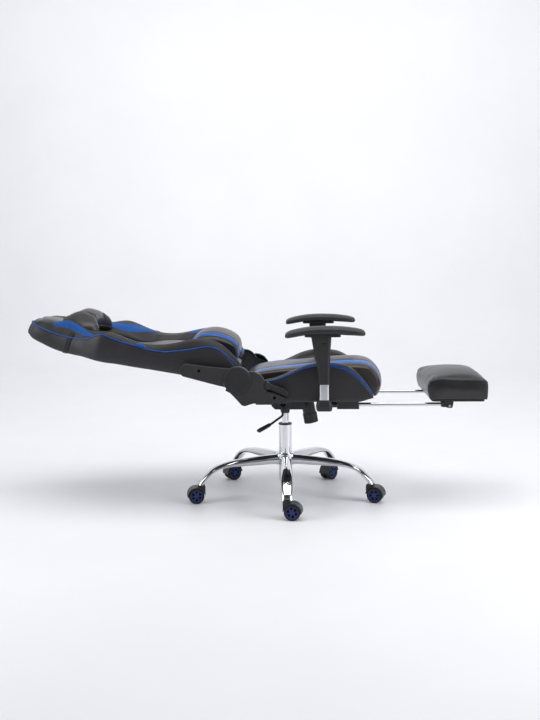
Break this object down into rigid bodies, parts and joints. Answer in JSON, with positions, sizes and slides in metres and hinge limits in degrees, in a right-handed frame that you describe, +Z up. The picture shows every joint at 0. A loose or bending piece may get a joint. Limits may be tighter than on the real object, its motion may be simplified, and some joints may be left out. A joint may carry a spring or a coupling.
{
  "type": "reclining gaming chair",
  "caption": "Bolstered reclining chair on a chrome swivel base with castors, with height-adjustable arms, pillows and a slide-out flip-over foot rest.",
  "frame": {"origin": "on the floor, on the axis of the column", "axes": "+X the way the sitter faces, +Y the sitter's left, +Z up; drawn reclined with the foot rest pulled out"},
  "size_m": [1.7324, 0.7042, 0.7395],
  "materials": {
    "chrome": "bright chrome plate",
    "black_plastic": "fine-grained black moulding",
    "black_steel": "black powder coat",
    "steel": "bare steel",
    "black_upholstery": "black synthetic leather over foam, royal-blue panels and piping",
    "black_strap": "black elastic webbing",
    "soft_pad": "soft-touch black moulding",
    "castor_black": "black nylon with dark-blue spoked insert",
    "rubber": "black rubber",
    "board": "black-stained plywood"
  },
  "bodies": {
    "base": {"star_base": "chrome", "gas_lift_tube": "chrome", "gas_lift_bush": "black_plastic"},
    "lift_rod": {"lift_piston_rod": "steel", "lift_thrust_bearing": "steel"},
    "seat_carrier": {"gas_lift_cylinder": "chrome", "tilt_housing": "black_steel", "tilt_spring": "steel"},
    "release_pin": {"lift_release_pin": "steel"},
    "tension_knob": {"tension_knob": "black_plastic"},
    "lift_lever": {"lift_lever_rod": "black_steel", "lift_lever_grip": "black_plastic"},
    "seat": {"tilt_top_plate": "black_steel", "pivot_pins": "steel", "seat_frame": "black_steel", "seat_webbing": "black_strap", "seat_bolts": "steel", "seat_cushion": "black_upholstery", "arm_posts": "chrome", "arm_post_caps": "black_plastic", "footrest_guides": "black_plastic", "recliner_seat_plates": "black_steel", "hinge_covers_seat": "black_plastic", "recliner_caps": "black_plastic"},
    "backrest": {"back_frame": "black_steel", "back_cushion": "black_upholstery", "back_panel": "black_upholstery", "recliner_back_plates": "black_steel", "hinge_covers_back": "black_plastic", "head_pillow": "black_upholstery", "head_pillow_strap": "black_strap", "lumbar_pillow": "black_upholstery"},
    "recline_lever": {"recline_lever": "black_plastic"},
    "footrest_slider": {"footrest_rails": "chrome", "footrest_rail_stops": "rubber", "footrest_hinge_brackets": "black_plastic"},
    "footrest_pad": {"footrest_pivot_pins": "steel", "footrest_board": "board", "footrest_cushion": "black_upholstery"},
    "armrest_left": {"arm_sleeve_left": "black_plastic", "arm_pad_left": "soft_pad"},
    "arm_button_left": {"arm_button_left": "black_plastic"},
    "armrest_right": {"arm_sleeve_right": "black_plastic", "arm_pad_right": "soft_pad"},
    "arm_button_right": {"arm_button_right": "black_plastic"},
    "castor_1": {"castor_1_fork": "castor_black"},
    "castor_1_wheel_a": {"castor_1_wheel_a": "castor_black"},
    "castor_1_wheel_b": {"castor_1_wheel_b": "castor_black"},
    "castor_2": {"castor_2_fork": "castor_black"},
    "castor_2_wheel_a": {"castor_2_wheel_a": "castor_black"},
    "castor_2_wheel_b": {"castor_2_wheel_b": "castor_black"},
    "castor_3": {"castor_3_fork": "castor_black"},
    "castor_3_wheel_a": {"castor_3_wheel_a": "castor_black"},
    "castor_3_wheel_b": {"castor_3_wheel_b": "castor_black"},
    "castor_4": {"castor_4_fork": "castor_black"},
    "castor_4_wheel_a": {"castor_4_wheel_a": "castor_black"},
    "castor_4_wheel_b": {"castor_4_wheel_b": "castor_black"},
    "castor_5": {"castor_5_fork": "castor_black"},
    "castor_5_wheel_a": {"castor_5_wheel_a": "castor_black"},
    "castor_5_wheel_b": {"castor_5_wheel_b": "castor_black"}
  },
  "joints": [
    {"name": "seat_swivel", "type": "hinge", "parent": "base", "child": "lift_rod", "pos_m": [0, 0, 0.1], "axis": [0, 0, 1], "continuous": true},
    {"name": "seat_height", "type": "slide", "parent": "lift_rod", "child": "seat_carrier", "axis": [0, 0, 1], "range_m": [-0.02, 0.08]},
    {"name": "seat_tilt", "type": "hinge", "parent": "seat_carrier", "child": "seat", "pos_m": [0.02, 0, 0.386], "axis": [0, 1, 0], "range_deg": [-12, 0], "stiffness_Nm_per_rad": 150, "springref_deg": 20.05},
    {"name": "back_recline", "type": "hinge", "parent": "seat", "child": "backrest", "pos_m": [-0.17, 0, 0.498], "axis": [0, 1, 0], "range_deg": [0, 75]},
    {"name": "recline_lever_pull", "type": "hinge", "parent": "seat", "child": "recline_lever", "pos_m": [-0.06, -0.27, 0.477], "axis": [0, 1, 0], "range_deg": [-25, 0], "stiffness_Nm_per_rad": 0.8, "springref_deg": 17.19},
    {"name": "lift_lever_pull", "type": "hinge", "parent": "seat_carrier", "child": "lift_lever", "pos_m": [-0.008, -0.04, 0.369], "axis": [1, 0, 0], "range_deg": [-8, 0], "stiffness_Nm_per_rad": 2.5, "springref_deg": 14.32},
    {"name": "release_pin_press", "type": "slide", "parent": "seat_carrier", "child": "release_pin", "axis": [0, 0, 1], "range_m": [-0.003, 0]},
    {"name": "tension_knob_turn", "type": "hinge", "parent": "seat_carrier", "child": "tension_knob", "pos_m": [0.0885, 0, 0.365], "axis": [0.1857, 0, -0.9826], "range_deg": [-720, 720]},
    {"name": "footrest_slide", "type": "slide", "parent": "seat", "child": "footrest_slider", "axis": [1, 0, 0], "range_m": [-0.26, 0]},
    {"name": "footrest_flip", "type": "hinge", "parent": "footrest_slider", "child": "footrest_pad", "pos_m": [0.612, 0, 0.384], "axis": [0, 1, 0], "range_deg": [0, 180]},
    {"name": "armrest_left_height", "type": "slide", "parent": "seat", "child": "armrest_left", "axis": [0, 0, 1], "range_m": [-0.05, 0.03]},
    {"name": "arm_button_left_press", "type": "slide", "parent": "armrest_left", "child": "arm_button_left", "axis": [0, -1, 0], "range_m": [0, 0.0025], "stiffness_N_per_m": 500},
    {"name": "armrest_right_height", "type": "slide", "parent": "seat", "child": "armrest_right", "axis": [0, 0, 1], "range_m": [-0.05, 0.03]},
    {"name": "arm_button_right_press", "type": "slide", "parent": "armrest_right", "child": "arm_button_right", "axis": [0, 1, 0], "range_m": [0, 0.0025], "stiffness_N_per_m": 500},
    {"name": "castor_1_swivel", "type": "hinge", "parent": "base", "child": "castor_1", "pos_m": [0.00833, -0.3409, 0.078], "axis": [0, 0, 1], "continuous": true},
    {"name": "castor_1_spin_a", "type": "hinge", "parent": "castor_1", "child": "castor_1_wheel_a", "pos_m": [0.02814, -0.34368, 0.03], "axis": [0.1392, 0.9903, 0], "continuous": true},
    {"name": "castor_1_spin_b", "type": "hinge", "parent": "castor_1", "child": "castor_1_wheel_b", "pos_m": [0.02814, -0.34368, 0.03], "axis": [0.1392, 0.9903, 0], "continuous": true},
    {"name": "castor_2_swivel", "type": "hinge", "parent": "base", "child": "castor_2", "pos_m": [0.32679, -0.09742, 0.078], "axis": [0, 0, 1], "continuous": true},
    {"name": "castor_2_spin_a", "type": "hinge", "parent": "castor_2", "child": "castor_2_wheel_a", "pos_m": [0.34558, -0.10426, 0.03], "axis": [0.342, 0.9397, 0], "continuous": true},
    {"name": "castor_2_spin_b", "type": "hinge", "parent": "castor_2", "child": "castor_2_wheel_b", "pos_m": [0.34558, -0.10426, 0.03], "axis": [0.342, 0.9397, 0], "continuous": true},
    {"name": "castor_3_swivel", "type": "hinge", "parent": "base", "child": "castor_3", "pos_m": [0.19364, 0.28069, 0.078], "axis": [0, 0, 1], "continuous": true},
    {"name": "castor_3_spin_a", "type": "hinge", "parent": "castor_3", "child": "castor_3_wheel_a", "pos_m": [0.18078, 0.26537, 0.03], "axis": [0.766, -0.6428, 0], "continuous": true},
    {"name": "castor_3_spin_b", "type": "hinge", "parent": "castor_3", "child": "castor_3_wheel_b", "pos_m": [0.18078, 0.26537, 0.03], "axis": [0.766, -0.6428, 0], "continuous": true},
    {"name": "castor_4_swivel", "type": "hinge", "parent": "base", "child": "castor_4", "pos_m": [-0.20711, 0.27089, 0.078], "axis": [0, 0, 1], "continuous": true},
    {"name": "castor_4_spin_a", "type": "hinge", "parent": "castor_4", "child": "castor_4_wheel_a", "pos_m": [-0.22426, 0.2606, 0.03], "axis": [0.515, -0.8572, 0], "continuous": true},
    {"name": "castor_4_spin_b", "type": "hinge", "parent": "castor_4", "child": "castor_4_wheel_b", "pos_m": [-0.22426, 0.2606, 0.03], "axis": [0.515, -0.8572, 0], "continuous": true},
    {"name": "castor_5_swivel", "type": "hinge", "parent": "base", "child": "castor_5", "pos_m": [-0.32164, -0.11327, 0.078], "axis": [0, 0, 1], "continuous": true},
    {"name": "castor_5_spin_a", "type": "hinge", "parent": "castor_5", "child": "castor_5_wheel_a", "pos_m": [-0.34133, -0.11674, 0.03], "axis": [0.1736, -0.9848, 0], "continuous": true},
    {"name": "castor_5_spin_b", "type": "hinge", "parent": "castor_5", "child": "castor_5_wheel_b", "pos_m": [-0.34133, -0.11674, 0.03], "axis": [0.1736, -0.9848, 0], "continuous": true}
  ],
  "couplings": [
    {"joint": "release_pin_press", "follows": "lift_lever_pull", "m_per_rad": 0.0212},
    {"joint": "footrest_flip", "follows": "footrest_slide", "rad_per_m": -12.08}
  ]
}
